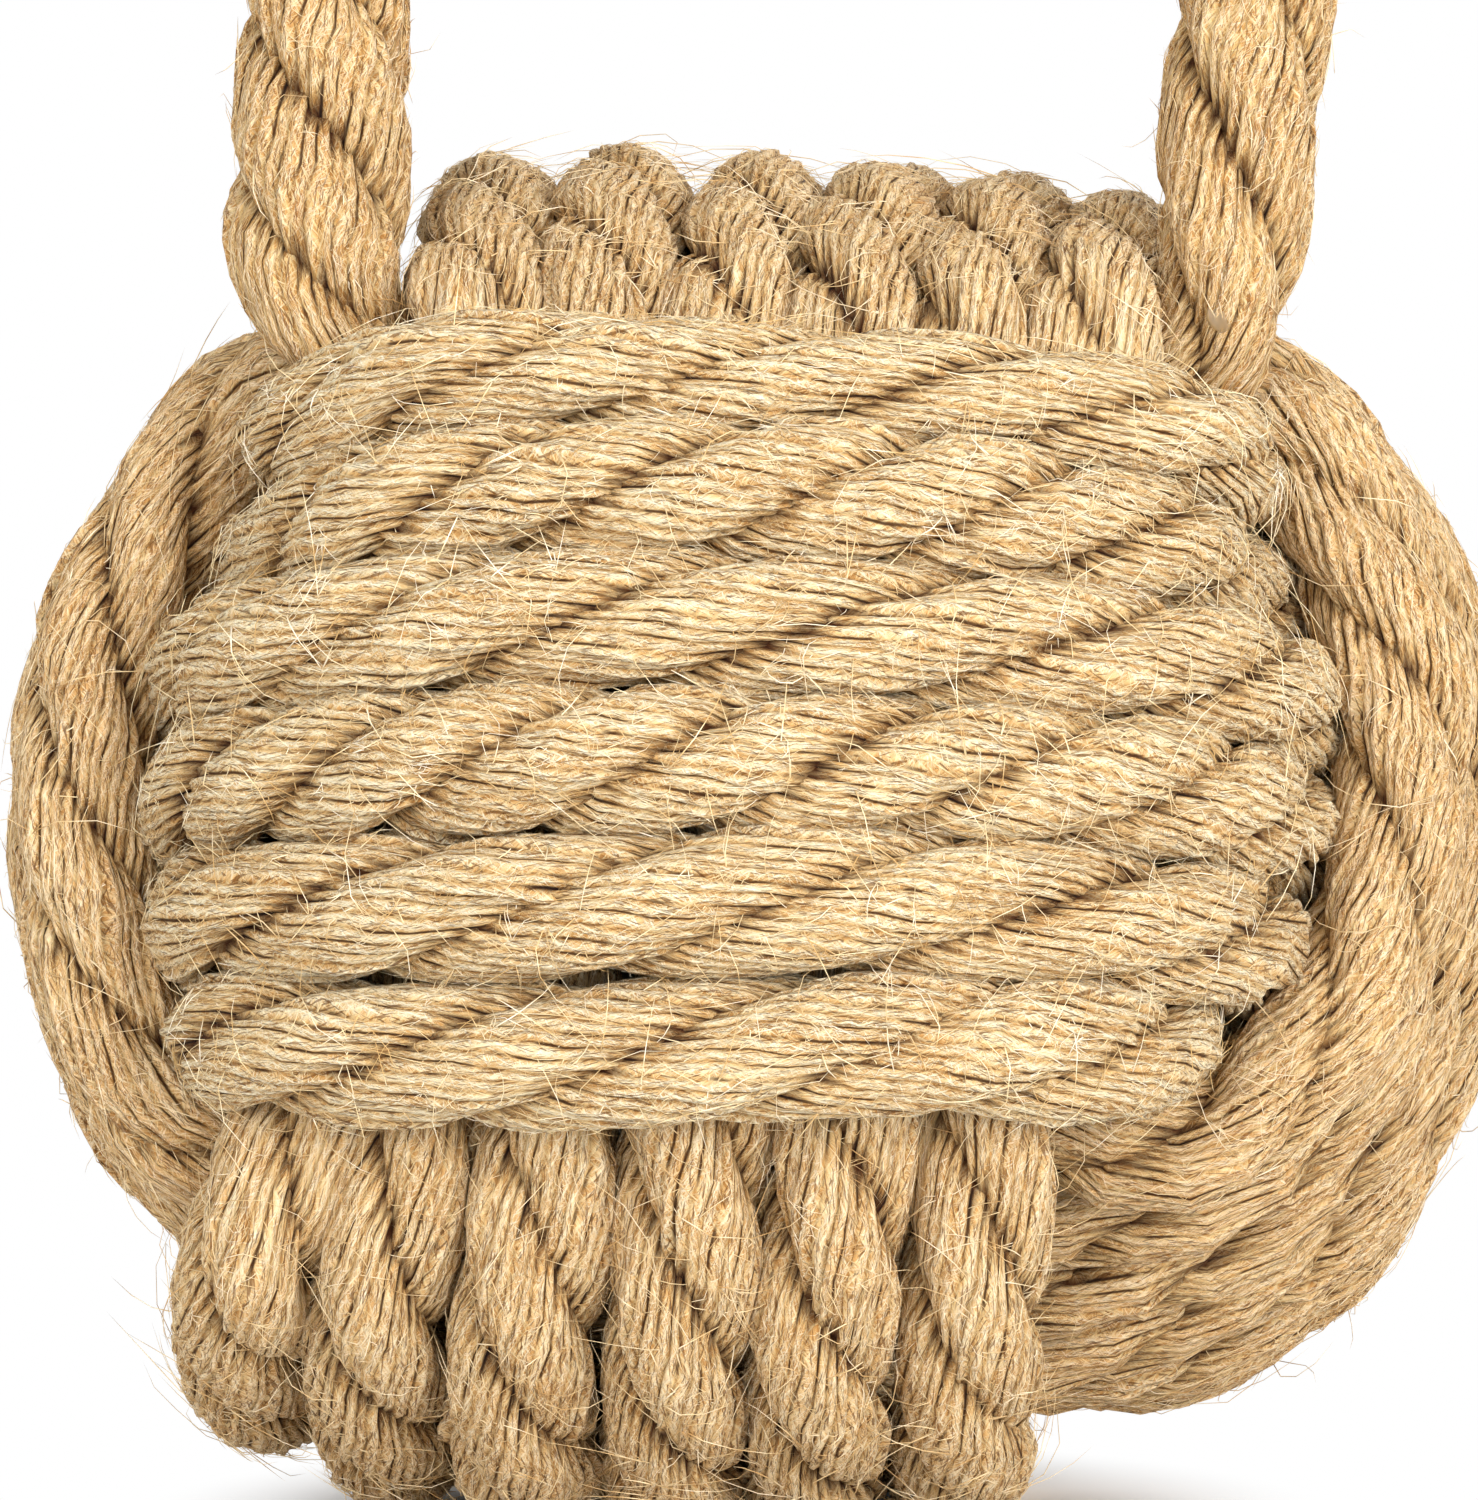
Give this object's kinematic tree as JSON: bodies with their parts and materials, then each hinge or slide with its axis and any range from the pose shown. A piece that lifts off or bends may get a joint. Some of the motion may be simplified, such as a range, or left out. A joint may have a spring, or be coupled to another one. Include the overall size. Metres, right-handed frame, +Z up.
{
  "type": "rope knot doorstop",
  "caption": "Round rope knot wound in three crossing sets of turns over a bag of sand, with a thicker rope carrying handle; its weight holds a door open.",
  "frame": {"origin": "on the floor, under the middle of the bounding box", "axes": "+Z up from the floor, +Y away from the front, +X to the right as seen from the front; the front is the side nearest the handle, where the rows of rope run level"},
  "size_m": [0.1486, 0.157, 0.2413],
  "materials": {
    "knot_jute": "matt, hairy natural fibre",
    "handle_jute": "matt, hairy natural fibre",
    "jute_twine": "matt natural fibre",
    "cotton_cloth": "matt plain weave",
    "dry_sand": "matt fine grain",
    "clear_glue": "clear, slightly cloudy, glossy"
  },
  "bodies": {
    "knot": {"winding_front": "knot_jute", "winding_crown": "knot_jute", "winding_side": "knot_jute", "handle_tail_left": "handle_jute", "handle_tail_right": "handle_jute", "handle_seizing": "jute_twine", "sand_bag": "cotton_cloth", "sand_filling": "dry_sand", "bag_tie": "jute_twine", "glue_bead": "clear_glue"},
    "handle": {"handle_rope": "handle_jute"}
  },
  "joints": [
    {"name": "handle_fold", "type": "hinge", "parent": "knot", "child": "handle", "pos_m": [0, -0.0355, 0.13367], "axis": [1, 0, 0], "range_deg": [-45, 60]}
  ]
}
